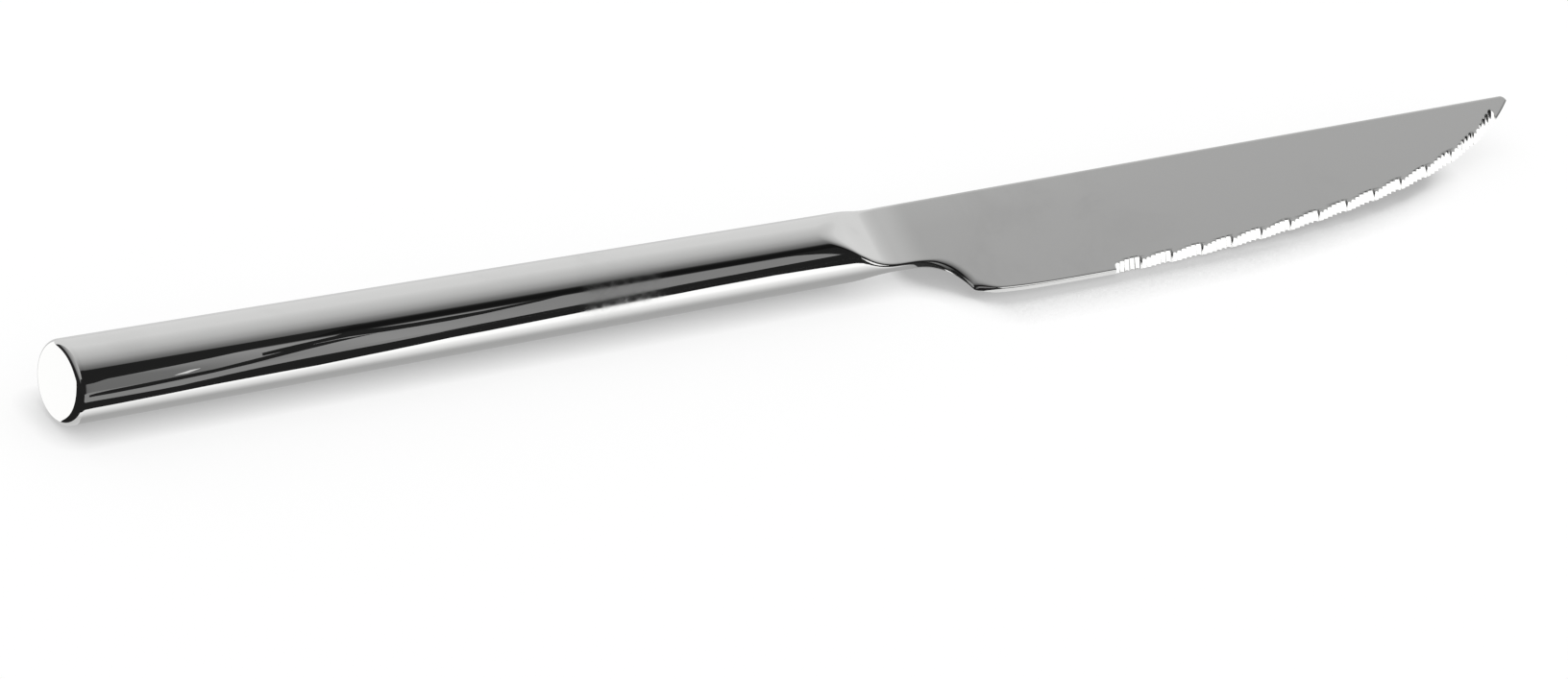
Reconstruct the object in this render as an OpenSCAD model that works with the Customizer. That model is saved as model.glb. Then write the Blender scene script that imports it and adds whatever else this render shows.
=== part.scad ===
// Steak knife with a round, hollow, all-metal handle, lying on a table as it is put down.
// The handle is two pressed half shells, closed at the butt by a cap and filled with cement.
// The blade is one forging: tang, plug, bolster, flat-ground blade and serrated edge.
// Each piece is drawn along its own axis, butt at zero, tip along +X, spine up along +Z.
// The right side of the knife faces -Y there, and at_rest() lays the knife down.

/* [Handle] */
// Length of the round handle, from the flat butt to where the grind begins
handle_len = 117.7; // [100:0.1:135]
// Diameter at the butt
butt_d = 10.9; // [10:0.1:14]
// Diameter where the grind begins
neck_d = 9.34; // [8.6:0.02:10]
// Wall of the two half shells
shell_wall = 0.8; // [0.5:0.05:1.2]

/* [Butt cap] */
// Length of the cap that shows behind the shells
cap_len = 2.4; // [2:0.1:4]
// Rounding between the flat butt and the handle
butt_round = 1.2; // [0.4:0.1:1.8]
// Length of the cap's plug inside the shells
cap_plug_len = 4; // [2:0.5:8]

/* [Bolster and tang] */
// Length of solid bolster that shows between the shells and the grind
bolster_len = 5.8; // [4:0.2:12]
// Length of the bolster's plug inside the shells
bolster_plug_len = 5; // [3:0.5:8]
// Gap round both plugs
plug_gap = 0.05; // [0.02:0.01:0.1]
// Length of the tang behind the plug
tang_len = 52; // [30:1:70]
// Height of the tang
tang_h = 5; // [4:0.1:5.6]
// Thickness of the tang
tang_t = 2.1; // [1.5:0.1:2.6]
// Radius of the keying notches in the tang
tang_notch_r = 0.9; // [0.5:0.1:1.2]
// Distance between two keying notches
tang_notch_pitch = 14; // [10:1:16]
// Notches along each edge of the tang
tang_notches = 3; // [1:1:3]

/* [Blade] */
// Length of the flat-ground blade, from the grind's end to the tip
blade_len = 107.4; // [90:0.2:120]
// Depth of the belly below the handle's axis
blade_depth = 11; // [9.5:0.1:12.5]
// How much higher the spine stands at the tip than at the neck
spine_rise = 1; // [0:0.1:2]
// Thickness of the spine at the neck
spine_t = 2.1; // [1.8:0.05:2.6]
// Thickness of the plain edge below the neck
edge_t = 1.2; // [1:0.05:1.5]
// Thickness lost from the neck to the tip
tip_thinning = 0.7; // [0.3:0.05:0.8]
// Radius that the grinding wheel leaves between bolster and flat
runout_r = 9; // [6:0.5:12]
// Chamfer along both edges of the spine
spine_ease = 0.2; // [0.1:0.05:0.3]
// Rounding of the tip's upper corner
tip_round = 0.9; // [0.5:0.1:1.5]

/* [Heel] */
// Straight neck between the grind's end and the heel's curve
neck_straight = 2.2; // [1:0.1:5]
// Radius of the heel's curve
heel_r = 7.4; // [6.4:0.1:8]
// How far the heel's corner stands above the deepest belly
heel_lift = 0.9; // [0.4:0.1:1.4]
// Distance from the grind's end to the deepest belly
belly_at = 30; // [24:1:40]

/* [Serration] */
// Distance from the heel's corner to the first flute
plain_edge_len = 22.7; // [15:0.1:30]
// Pitch of the scallops along the edge
scallop_pitch = 5.2; // [4:0.1:7]
// Flutes in one scallop
flutes_in_scallop = 6; // [4:1:7]
// Flutes that the first scallop lacks, because the plain edge cuts into it
scallop_start = 1; // [0:1:3]
// How far a scallop's deepest flute cuts above its shallowest
scallop_rise = 0.36; // [0.1:0.02:0.5]
// Radius of one flute over its width
flute_round = 0.62; // [0.55:0.01:0.8]
// Angle between a flute and the blade's face
flute_angle = 42; // [35:1:50]
// Plain length left behind the tip
tip_plain_len = 3; // [2:0.5:6]

/* [Hidden] */
$fn = 96;

// Overrun of every cut
over = butt_d / 4;
// Points along each rounded stretch of the outline
arc_steps = 8;
// Shortest straight stretch of the belly's outline
belly_step = scallop_pitch / flutes_in_scallop * 2;

// Handle
handle_taper = (butt_d - neck_d) / 2 / handle_len;
taper_angle = atan(handle_taper);
shell_end = handle_len - bolster_len;
function handle_r(x) = butt_d / 2 - handle_taper * x;
function bore_r(x) = handle_r(x) - shell_wall;

// Blade faces: half the thickness at a place along and above the axis
grind_depth = neck_d / 2 - spine_t / 2;
grind_x = handle_len + sqrt(runout_r * runout_r - pow(runout_r - grind_depth, 2));
tip_x = grind_x + blade_len;
neck_proud = spine_ease / 4;
spine_start = handle_r(grind_x) + neck_proud;
face_slope = (spine_t - edge_t) / 2 / (spine_start + blade_depth);
thinning_slope = tip_thinning / 2 / blade_len;
axis_half_t = spine_t / 2 - face_slope * spine_start;
function half_t(x, z) = axis_half_t + face_slope * z - thinning_slope * (x - grind_x);

// Outline: the spine
function spine_z(x) = spine_start + spine_rise * (x - grind_x) / blade_len;
spine_angle = atan(spine_rise / blade_len);

// Outline: the heel's curve ends at the corner
neck_z = -handle_r(grind_x) - neck_proud;
heel_start = grind_x + neck_straight;
heel_end_z = heel_lift - blade_depth;
heel_turn = acos((heel_end_z - neck_z + heel_r) / heel_r);
heel_x = heel_start + heel_r * sin(heel_turn);

// Outline: the belly is flat behind its deepest point and sweeps up to the tip
belly_x = grind_x + belly_at;
tip_corner_z = spine_z(tip_x) - tip_round;
heel_power = 4;
sweep_power = 9;
flat_share = 0.66;
function sweep(u) = flat_share * u * u + (1 - flat_share) * pow(u, sweep_power);
function back_z(x) = heel_lift * pow((belly_x - x) / (belly_x - heel_x), heel_power);
function front_z(x) = (blade_depth + tip_corner_z) * sweep((x - belly_x) / (tip_x - belly_x));
function edge_z(x) = (x < belly_x ? back_z(x) : front_z(x)) - blade_depth;

// Outline: points round the blade, from the neck's top to its underside
tuck = runout_r / 3;
tip_arc = [
    for (i = [0 : arc_steps])
        let (a = 90 - 90 * i / arc_steps)
        [tip_x - tip_round + tip_round * cos(a), tip_corner_z + tip_round * sin(a)]
];
belly_count = ceil((tip_x - heel_x) / belly_step);
belly_line = [
    for (i = [belly_count - 1 : -1 : 0])
        let (x = heel_x + (tip_x - heel_x) * i / belly_count)
        [x, edge_z(x)]
];
heel_arc = [
    for (i = [arc_steps - 1 : -1 : 0])
        let (a = heel_turn * i / arc_steps)
        [heel_start + heel_r * sin(a), neck_z - heel_r + heel_r * cos(a)]
];
outline = concat(
    [[grind_x - tuck, spine_start - tuck / 4], [heel_start, spine_z(heel_start)]],
    tip_arc,
    belly_line,
    heel_arc,
    [[grind_x - tuck, neck_z + tuck / 4]]
);

// Serration: every flute has its place in a scallop and a share of the scallop's rise
flute_pitch = scallop_pitch / flutes_in_scallop;
flute_r = flute_pitch * flute_round;
serration_x = heel_x + plain_edge_len;
flute_count = floor((tip_x - tip_plain_len - serration_x) / flute_pitch);
function scallop_share(k) = pow(sin(90 * min(1, (k + 0.5) / (flutes_in_scallop - 1.5))), 2);
base_rise = flute_r / 5;

// Rest: the handle's lower line and the deepest belly both touch the table
touch_half_t = half_t(belly_x, -blade_depth);
touch_reach = sqrt(touch_half_t * touch_half_t + blade_depth * blade_depth);
tilt = asin(handle_r(belly_x) / touch_reach) - atan(touch_half_t / blade_depth);
center_x = tip_x / 2;
center_y = (butt_d / 2 - blade_depth * cos(tilt)) / 2;

// Lays the upright knife on its left side, edge towards -Y
module at_rest() {
    translate([-center_x, -center_y, butt_d / 2 * cos(taper_angle)])
        rotate([0, taper_angle, 0])
            rotate([tilt - 90, 0, 0])
                children();
}

// Turns a shape drawn along +Z to lie along +X
module along_x() {
    rotate([0, 90, 0])
        children();
}

// Round bar or bore between two places, less a wall or gap
module taper_bar(from, to, inset) {
    along_x()
        translate([0, 0, from])
            cylinder(h = to - from, r1 = handle_r(from) - inset, r2 = handle_r(to) - inset);
}

// Puts a cutter on the blade's face: local +Y points out of the steel
module on_face(side) {
    mirror([0, side < 0 ? 1 : 0, 0])
        translate([grind_x, axis_half_t, 0])
            rotate([atan(-face_slope), 0, 0])
                rotate([0, 0, atan(-thinning_slope)])
                    children();
}

// Flat grind of one face, with the wheel's round run-out behind it
module grind() {
    cut_h = 2 * blade_depth + 2 * over;
    translate([0, 0, -cut_h / 2])
        cube([blade_len + over, butt_d, cut_h]);
    translate([0, runout_r, -cut_h / 2])
        cylinder(h = cut_h, r = runout_r);
}

// Chamfer along one edge of the spine
module spine_chamfer() {
    translate([0, 0, spine_start])
        rotate([0, -spine_angle, 0])
            rotate([45, 0, 0])
                translate([0, -spine_ease / sqrt(2), -spine_ease / sqrt(2)])
                    cube([blade_len + over, spine_ease * sqrt(2), spine_ease * sqrt(2)]);
}

// Section of one flute: a round bottom that opens towards the cutting side
module flute_section() {
    polygon(concat(
        [for (a = [0 : 30 : 180]) [flute_r * cos(a), flute_r * sin(a)]],
        [[-flute_r, -over], [flute_r, -over]]
    ));
}

// One ground flute, which slopes from the right face down to the left face's edge
module flute(x, rise) {
    z = edge_z(x) + rise;
    translate([x, half_t(x, z), z])
        rotate([flute_angle, 0, 0])
            translate([0, 0, -over])
                linear_extrude(2 * over)
                    translate([0, -flute_r])
                        flute_section();
}

// All flutes of the serrated edge
module serration() {
    for (i = [0 : flute_count - 1])
        flute(
            serration_x + (i + 0.5) * flute_pitch,
            base_rise + scallop_rise * scallop_share((i + scallop_start) % flutes_in_scallop)
        );
}

// Tang with keying notches for the cement
module tang() {
    tang_end = shell_end - bolster_plug_len;
    difference() {
        translate([tang_end - tang_len, -tang_t / 2, -tang_h / 2])
            cube([tang_len + bolster_plug_len, tang_t, tang_h]);
        for (i = [1 : tang_notches], side = [-1, 1])
            translate([tang_end - i * tang_notch_pitch, 0, side * tang_h / 2])
                rotate([90, 0, 0])
                    cylinder(h = tang_t + 2 * over, r = tang_notch_r, center = true);
    }
}

// Plate of the blade before it is ground
module blade_plate() {
    translate([0, spine_t / 2, 0])
        rotate([90, 0, 0])
            linear_extrude(spine_t)
                polygon(outline);
}

// One forging: tang, plug, bolster and serrated blade
module blade() {
    color("gainsboro")
        at_rest() {
            difference() {
                union() {
                    taper_bar(shell_end, heel_start, 0);
                    blade_plate();
                }
                for (side = [-1, 1])
                    on_face(side)
                        grind();
                for (side = [-1, 1])
                    on_face(side)
                        spine_chamfer();
                serration();
            }
            taper_bar(shell_end - bolster_plug_len, shell_end, shell_wall + plug_gap);
            tang();
        }
}

// One pressed half shell: side -1 is the right half, side 1 the left
module half_shell(side) {
    difference() {
        taper_bar(cap_len, shell_end, 0);
        taper_bar(cap_len - over, shell_end + over, shell_wall);
        translate([cap_len - over, side < 0 ? 0 : -butt_d, -butt_d])
            cube([shell_end - cap_len + 2 * over, butt_d, 2 * butt_d]);
    }
}

module handle_shell_right() {
    color("silver")
        at_rest()
            half_shell(-1);
}

module handle_shell_left() {
    color("silver")
        at_rest()
            half_shell(1);
}

// Cement that fills the shells and locks the tang
module cement_core() {
    color("tan")
        at_rest()
            difference() {
                taper_bar(cap_len + cap_plug_len, shell_end - bolster_plug_len, shell_wall);
                tang();
            }
}

// Cap that closes the butt, with a flat end and a rounded rim
module butt_cap() {
    plug_r = bore_r(cap_len) - plug_gap;
    plug_tip_r = bore_r(cap_len + cap_plug_len) - plug_gap;
    flat_r = handle_r(butt_round) - butt_round;
    color("silver")
        at_rest()
            along_x()
                rotate_extrude() {
                    polygon([
                        [0, 0],
                        [flat_r, 0],
                        [flat_r, butt_round],
                        [handle_r(butt_round), butt_round],
                        [handle_r(cap_len), cap_len],
                        [plug_r, cap_len],
                        [plug_tip_r, cap_len + cap_plug_len],
                        [0, cap_len + cap_plug_len]
                    ]);
                    translate([flat_r, butt_round])
                        intersection() {
                            circle(r = butt_round);
                            translate([0, -butt_round])
                                square(butt_round);
                        }
                }
}

blade();
handle_shell_right();
handle_shell_left();
cement_core();
butt_cap();
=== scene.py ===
"""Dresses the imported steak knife: polished steel handle and blade, on a pale studio floor.

Every piece is drawn in the knife's own frame, in millimetres, as part.scad draws it: the butt
at zero, the tip along +X, the spine up along +Z and the right side facing -Y. KnifeSizes.rest()
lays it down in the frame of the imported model.
"""

import logging
import math
from collections.abc import Callable, Sequence
from dataclasses import dataclass
from enum import Enum
from functools import partial

import bmesh
import bpy
from mathutils import Euler, Matrix, Vector

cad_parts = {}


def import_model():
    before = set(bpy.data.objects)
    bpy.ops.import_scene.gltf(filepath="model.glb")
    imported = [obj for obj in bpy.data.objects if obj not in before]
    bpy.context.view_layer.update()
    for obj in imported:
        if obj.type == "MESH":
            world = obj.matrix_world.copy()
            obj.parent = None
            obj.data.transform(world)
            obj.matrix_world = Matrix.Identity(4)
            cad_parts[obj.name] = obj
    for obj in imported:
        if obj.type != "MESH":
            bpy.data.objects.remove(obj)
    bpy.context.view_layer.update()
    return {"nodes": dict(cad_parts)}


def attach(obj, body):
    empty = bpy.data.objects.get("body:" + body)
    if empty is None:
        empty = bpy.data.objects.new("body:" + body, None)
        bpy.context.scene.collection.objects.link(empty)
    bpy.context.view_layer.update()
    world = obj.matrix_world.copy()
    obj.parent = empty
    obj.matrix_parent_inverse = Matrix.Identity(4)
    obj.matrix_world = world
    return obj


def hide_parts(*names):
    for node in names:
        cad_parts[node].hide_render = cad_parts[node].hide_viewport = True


MM = 0.001
LOG = logging.getLogger("steak_knife")


class Side(Enum):
    """The two sides of the knife, by the sign of their Y."""

    RIGHT = -1
    LEFT = 1


class Slot(Enum):
    """The record's material slots."""

    BLADE = "blade_steel"
    HANDLE = "handle_steel"
    CEMENT = "cement"


def linear(colour: str) -> tuple[float, float, float, float]:
    """Turns an sRGB hex colour into the linear one that Blender's sockets take.

    Args:
        colour: Six hex digits after a hash.

    Returns:
        Linear red, green and blue, and an alpha of one.
    """
    parts = [int(colour[i : i + 2], 16) / 255 for i in (1, 3, 5)]
    red, green, blue = [
        p / 12.92 if p <= 0.04045 else ((p + 0.055) / 1.055) ** 2.4 for p in parts
    ]
    return red, green, blue, 1.0


def add_node(
    tree: bpy.types.NodeTree,
    kind: str,
    values: dict | None = None,
    links: dict | None = None,
    **settings: object,
) -> bpy.types.Node:
    """Adds a node with its settings, its sockets' values and its links.

    Args:
        tree: The node tree.
        kind: The node's type name.
        values: Socket name or number to value.
        links: Socket name or number to what feeds it: an output, or a node's first output.
        settings: Properties of the node itself.

    Returns:
        The new node.
    """
    node = tree.nodes.new(kind)
    for key, value in settings.items():
        setattr(node, key, value)
    for key, value in (values or {}).items():
        node.inputs[key].default_value = value
    for key, source in (links or {}).items():
        if isinstance(source, bpy.types.Node):
            source = source.outputs[0]
        tree.links.new(source, node.inputs[key])
    return node


def new_material(name: str) -> tuple[bpy.types.Material, bpy.types.NodeTree]:
    """Starts a node material, and gives it with its tree."""
    made = bpy.data.materials.new(name)
    made.use_nodes = True
    return made, made.node_tree


def own_place(tree: bpy.types.NodeTree) -> tuple[bpy.types.NodeSocket, Sequence]:
    """Adds the object's own coordinates.

    Args:
        tree: The node tree.

    Returns:
        The output that holds them together, and their outputs X, Y and Z.
    """
    place = add_node(tree, "ShaderNodeTexCoord").outputs["Object"]
    return place, add_node(tree, "ShaderNodeSeparateXYZ", links={"Vector": place}).outputs


def ramp(
    tree: bpy.types.NodeTree,
    source: bpy.types.Node | bpy.types.NodeSocket,
    stops: Sequence[tuple[float, float]],
    unit: float = MM,
) -> bpy.types.Node:
    """Turns a value into a strength by way of a colour ramp.

    Args:
        tree: The node tree.
        source: What holds the value.
        stops: Value and strength of each stop, in rising order.
        unit: Size of the unit that the stops' values are in.

    Returns:
        The ramp.
    """
    stops = [(at * unit, value) for at, value in stops]
    low, high = stops[0][0], stops[-1][0]
    share = add_node(
        tree, "ShaderNodeMapRange", {"From Min": low, "From Max": high}, {"Value": source}
    )
    node = add_node(tree, "ShaderNodeValToRGB", links={0: share})
    elements = node.color_ramp.elements
    while len(elements) < len(stops):
        elements.new(1.0)
    for element, (at, value) in zip(elements, stops):
        element.position = (at - low) / (high - low)
        element.color = (value, value, value, 1.0)
    return node


def soft_min(a: float, b: float, width: float) -> float:
    """Gives the smaller of two depths, rounded where they are nearly equal.

    Args:
        a: The first depth.
        b: The second depth.
        width: Difference below which the corner is rounded.

    Returns:
        The rounded smaller depth.
    """
    near = max(width - abs(a - b), 0.0) / width
    return min(a, b) - near * near * width / 4


def smooth_step(value: float, start: float, end: float) -> float:
    """Gives a share that rises smoothly from zero at start to one at end."""
    share = min(max((value - start) / (end - start), 0.0), 1.0)
    return share * share * (3 - 2 * share)


def spread(start: float, end: float, step: float) -> list[float]:
    """Gives evenly spaced places from start up to, and without, end."""
    count = max(1, round((end - start) / step))
    return [start + (end - start) * i / count for i in range(count)]


@dataclass(frozen=True)
class KnifeSizes:
    """Named sizes of the knife in millimetres, the same as in part.scad."""

    handle_len: float = 117.7
    butt_d: float = 10.9
    neck_d: float = 9.34
    shell_wall: float = 0.8
    cap_len: float = 2.4
    butt_round: float = 1.2
    cap_plug_len: float = 4.0
    bolster_len: float = 5.8
    bolster_plug_len: float = 5.0
    plug_gap: float = 0.05
    tang_len: float = 52.0
    tang_h: float = 5.0
    tang_t: float = 2.1
    tang_notch_r: float = 0.9
    tang_notch_pitch: float = 14.0
    tang_notches: int = 3
    blade_len: float = 107.4
    blade_depth: float = 11.0
    spine_rise: float = 1.0
    spine_t: float = 2.1
    edge_t: float = 1.2
    tip_thinning: float = 0.7
    runout_r: float = 9.0
    spine_ease: float = 0.2
    tip_round: float = 0.9
    neck_straight: float = 2.2
    heel_r: float = 7.4
    heel_lift: float = 0.9
    belly_at: float = 30.0
    plain_edge_len: float = 22.7
    scallop_pitch: float = 5.2
    flutes_in_scallop: int = 6
    scallop_start: int = 1
    scallop_rise: float = 0.36
    flute_round: float = 0.62
    flute_angle: float = 42.0
    tip_plain_len: float = 3.0
    belly_sweep: float = 0.66
    belly_turn: float = 0.34
    belly_turn_power: int = 9
    heel_lift_power: int = 4

    @property
    def taper(self) -> float:
        """Radius that the handle loses over a unit of its length."""
        return (self.butt_d - self.neck_d) / 2 / self.handle_len

    @property
    def shell_end(self) -> float:
        """Place where the half shells end and the solid bolster shows."""
        return self.handle_len - self.bolster_len

    def handle_r(self, x: float) -> float:
        """Radius of the handle at a place along it."""
        return self.butt_d / 2 - self.taper * x

    @property
    def grind_x(self) -> float:
        """Place where the flat grind begins, past the wheel's round run-out."""
        depth = self.neck_d / 2 - self.spine_t / 2
        return self.handle_len + math.sqrt(self.runout_r**2 - (self.runout_r - depth) ** 2)

    @property
    def tip_x(self) -> float:
        """Place of the tip."""
        return self.grind_x + self.blade_len

    @property
    def neck_proud(self) -> float:
        """How far the plate stands proud of the round neck."""
        return self.spine_ease / 4

    @property
    def spine_start(self) -> float:
        """Height of the spine at the neck."""
        return self.handle_r(self.grind_x) + self.neck_proud

    @property
    def neck_z(self) -> float:
        """Height of the neck's underside."""
        return -self.spine_start

    @property
    def face_slope(self) -> float:
        """Half thickness that a face gains over a unit of height."""
        return (self.spine_t - self.edge_t) / 2 / (self.spine_start + self.blade_depth)

    @property
    def thinning_slope(self) -> float:
        """Half thickness that a face loses over a unit of length."""
        return self.tip_thinning / 2 / self.blade_len

    def half_t(self, x: float, z: float) -> float:
        """Half the blade's thickness at a place along and above its axis."""
        middle = self.spine_t / 2 - self.face_slope * self.spine_start
        return middle + self.face_slope * z - self.thinning_slope * (x - self.grind_x)

    def spine_z(self, x: float) -> float:
        """Height of the spine at a place along the blade."""
        return self.spine_start + self.spine_rise * (x - self.grind_x) / self.blade_len

    @property
    def heel_start(self) -> float:
        """Place where the heel's curve leaves the neck."""
        return self.grind_x + self.neck_straight

    @property
    def heel_x(self) -> float:
        """Place of the heel's corner."""
        end_z = self.heel_lift - self.blade_depth
        turn = math.acos((end_z - self.neck_z + self.heel_r) / self.heel_r)
        return self.heel_start + self.heel_r * math.sin(turn)

    @property
    def tip_corner_z(self) -> float:
        """Height at which the rounded tip meets the edge."""
        return self.spine_z(self.tip_x) - self.tip_round

    def edge_z(self, x: float) -> float:
        """Height of the cutting edge at a place along the blade."""
        belly_x = self.grind_x + self.belly_at
        if x < belly_x:
            back = (belly_x - x) / (belly_x - self.heel_x)
            return self.heel_lift * back**self.heel_lift_power - self.blade_depth
        u = (x - belly_x) / (self.tip_x - belly_x)
        sweep = self.belly_sweep * u * u + self.belly_turn * u**self.belly_turn_power
        return (self.blade_depth + self.tip_corner_z) * sweep - self.blade_depth

    @property
    def flute_pitch(self) -> float:
        """Distance between two flutes of the serrated edge."""
        return self.scallop_pitch / self.flutes_in_scallop

    @property
    def serration_x(self) -> float:
        """Place where the serrated edge begins."""
        return self.heel_x + self.plain_edge_len

    def rest(self) -> Matrix:
        """Gives the move that lays the upright knife on its left side.

        Returns:
            A matrix from the knife's own millimetres to the model's metres.
        """
        belly_x = self.grind_x + self.belly_at
        half = self.half_t(belly_x, -self.blade_depth)
        reach = math.hypot(half, self.blade_depth)
        tilt = math.asin(self.handle_r(belly_x) / reach) - math.atan(half / self.blade_depth)
        lean = math.atan(self.taper)
        centre = Vector(
            (
                -self.tip_x / 2,
                -(self.butt_d / 2 - self.blade_depth * math.cos(tilt)) / 2,
                self.butt_d / 2 * math.cos(lean),
            )
        )
        return (
            Matrix.Scale(MM, 4)
            @ Matrix.Translation(centre)
            @ Matrix.Rotation(lean, 4, "Y")
            @ Matrix.Rotation(tilt - math.pi / 2, 4, "X")
        )


@dataclass(frozen=True)
class PolishedSteel:
    """18/10 stainless steel, buffed to a mirror, or satin where it was ground flat.

    The buffing leaves a clean mirror that sways a little along its length, hair lines along
    the knife that only show in the reflections, and faint smears where fingers held it. Real
    hair lines are a few hundredths of a millimetre apart: they are drawn coarser, because so
    fine a pattern would only flicker.
    """

    name: str = "stainless_steel_mirror_polished"
    colour: str = "#E4E4E3"
    # Tone of the satin part: on the blade's flat it is a shade darker, a painted shade for the
    # darker grey that the flat mirrors.
    satin_painted_tone: str = "#E4E4E3"
    roughness: float = 0.03
    smear_mm: float = 14.0
    smear_from: float = 0.5
    smear_to: float = 0.8
    smear_share: float = 0.05
    smear_roughness: float = 0.08
    satin_roughness: float = 0.03
    satin_from: float = 1.0
    satin_to: float = 2.0
    sway_mm: float = 26.0
    sway_height_mm: float = 0.012
    line_pitch_mm: float = 0.35
    line_length_mm: float = 40.0
    line_height_mm: float = 0.0006
    print_from: float = 1.0
    print_to: float = 2.0
    print_mm: float = 1.6
    print_roughness: float = 0.3

    @property
    def smear_scale(self) -> float:
        """Scale of the smears' noise."""
        return 1 / (self.smear_mm * MM)

    def material(self) -> bpy.types.Material:
        """Builds the node material.

        Returns:
            The material.
        """
        made, tree = new_material(self.name)
        shader = tree.nodes["Principled BSDF"]
        shader.inputs["Metallic"].default_value = 1.0
        place, parts = own_place(tree)
        satin = add_node(
            tree,
            "ShaderNodeMapRange",
            {"From Min": self.satin_from, "From Max": self.satin_to},
            {"Value": parts["X"]},
            interpolation_type="SMOOTHSTEP",
        )
        smear = add_node(
            tree,
            "ShaderNodeTexNoise",
            {"Scale": self.smear_scale, "Detail": 5.0, "Roughness": 0.62, "Distortion": 0.6},
            {"Vector": place},
        )
        smeared = add_node(
            tree,
            "ShaderNodeMapRange",
            {"From Min": self.smear_from, "From Max": self.smear_to},
            {"Value": smear},
            interpolation_type="SMOOTHSTEP",
        )
        tree.links.new(self.tone(tree, satin, smeared), shader.inputs["Base Color"])
        printed = self.finger_print(tree, place, parts["X"])
        rough = self.gloss(tree, satin, smeared, printed)
        tree.links.new(rough, shader.inputs["Roughness"])
        tree.links.new(self.relief(tree, place), shader.inputs["Normal"])
        return made

    def tone(
        self, tree: bpy.types.NodeTree, satin: bpy.types.Node, smeared: bpy.types.Node
    ) -> bpy.types.NodeSocket:
        """Adds the steel's colour, in its painted tone where it is satin, and a trace duller under
        the smears.

        Args:
            tree: The node tree.
            satin: Share of the satin finish.
            smeared: Share of the smears.

        Returns:
            The output that holds the colour.
        """
        clean = add_node(
            tree,
            "ShaderNodeMix",
            {6: linear(self.colour), 7: linear(self.satin_painted_tone)},
            {0: satin},
            data_type="RGBA",
        ).outputs[2]
        dulled = add_node(
            tree,
            "ShaderNodeMath",
            {1: -self.smear_share, 2: 1.0},
            {0: smeared},
            operation="MULTIPLY_ADD",
        )
        return add_node(
            tree, "ShaderNodeVectorMath", links={0: clean, "Scale": dulled}, operation="SCALE"
        ).outputs["Vector"]

    def gloss(
        self, tree: bpy.types.NodeTree, satin: bpy.types.Node, *marks: bpy.types.Node
    ) -> bpy.types.NodeSocket:
        """Adds the roughness: the polish, and on it the smears and the finger print.

        Args:
            tree: The node tree.
            satin: Share of the satin finish.
            marks: Shares of the smears and of the finger print.

        Returns:
            The output that holds the roughness.
        """
        rough = add_node(
            tree,
            "ShaderNodeMath",
            {1: self.satin_roughness - self.roughness, 2: self.roughness},
            {0: satin},
            operation="MULTIPLY_ADD",
        )
        for mark, more in zip(marks, (self.smear_roughness - self.roughness, self.print_roughness)):
            rough = add_node(
                tree, "ShaderNodeMath", {1: more}, {0: mark, 2: rough}, operation="MULTIPLY_ADD"
            )
        return rough.outputs[0]

    def relief(
        self, tree: bpy.types.NodeTree, place: bpy.types.NodeSocket
    ) -> bpy.types.NodeSocket:
        """Adds the slow sway of the buffed face and the hair lines on it.

        Args:
            tree: The node tree.
            place: Output that holds the object's own coordinates.

        Returns:
            The output that holds the bumped normal.
        """
        sway = add_node(
            tree,
            "ShaderNodeTexNoise",
            {"Scale": 1 / (self.sway_mm * MM), "Detail": 1.0, "Roughness": 0.4},
            {"Vector": place},
        )
        swayed = add_node(
            tree,
            "ShaderNodeBump",
            {"Distance": self.sway_height_mm * MM, "Strength": 1.0},
            {"Height": sway},
        )
        across = 1 / (self.line_pitch_mm * MM)
        stretched = add_node(
            tree,
            "ShaderNodeMapping",
            {"Scale": (1 / (self.line_length_mm * MM), across, across)},
            {"Vector": place},
        )
        lines = add_node(
            tree, "ShaderNodeTexNoise", {"Scale": 1.0, "Detail": 2.0}, {"Vector": stretched}
        )
        return add_node(
            tree,
            "ShaderNodeBump",
            {"Distance": self.line_height_mm * MM, "Strength": 1.0},
            {"Height": lines, "Normal": swayed},
        ).outputs["Normal"]

    def finger_print(
        self,
        tree: bpy.types.NodeTree,
        place: bpy.types.NodeSocket,
        along: bpy.types.NodeSocket,
    ) -> bpy.types.Node:
        """Adds the haze that a finger left round one stretch of the steel.

        Args:
            tree: The node tree.
            place: Output that holds the object's own coordinates.
            along: Their X.

        Returns:
            A node that gives one in the print's ridges and zero on clean steel.
        """
        middle, half = (self.print_from + self.print_to) / 2, (self.print_to - self.print_from) / 2
        off = add_node(tree, "ShaderNodeMath", {1: middle}, {0: along}, operation="SUBTRACT")
        off = add_node(tree, "ShaderNodeMath", links={0: off}, operation="ABSOLUTE")
        window = add_node(
            tree,
            "ShaderNodeMapRange",
            {"From Min": half / 2, "From Max": half, "To Min": 1.0, "To Max": 0.0},
            {"Value": off},
            interpolation_type="SMOOTHSTEP",
        )
        ridges = add_node(
            tree,
            "ShaderNodeTexNoise",
            {"Scale": 1 / (self.print_mm * MM), "Detail": 2.0, "Distortion": 1.2},
            {"Vector": place},
        )
        return add_node(
            tree, "ShaderNodeMath", links={0: window, 1: ridges}, operation="MULTIPLY"
        )


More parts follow.
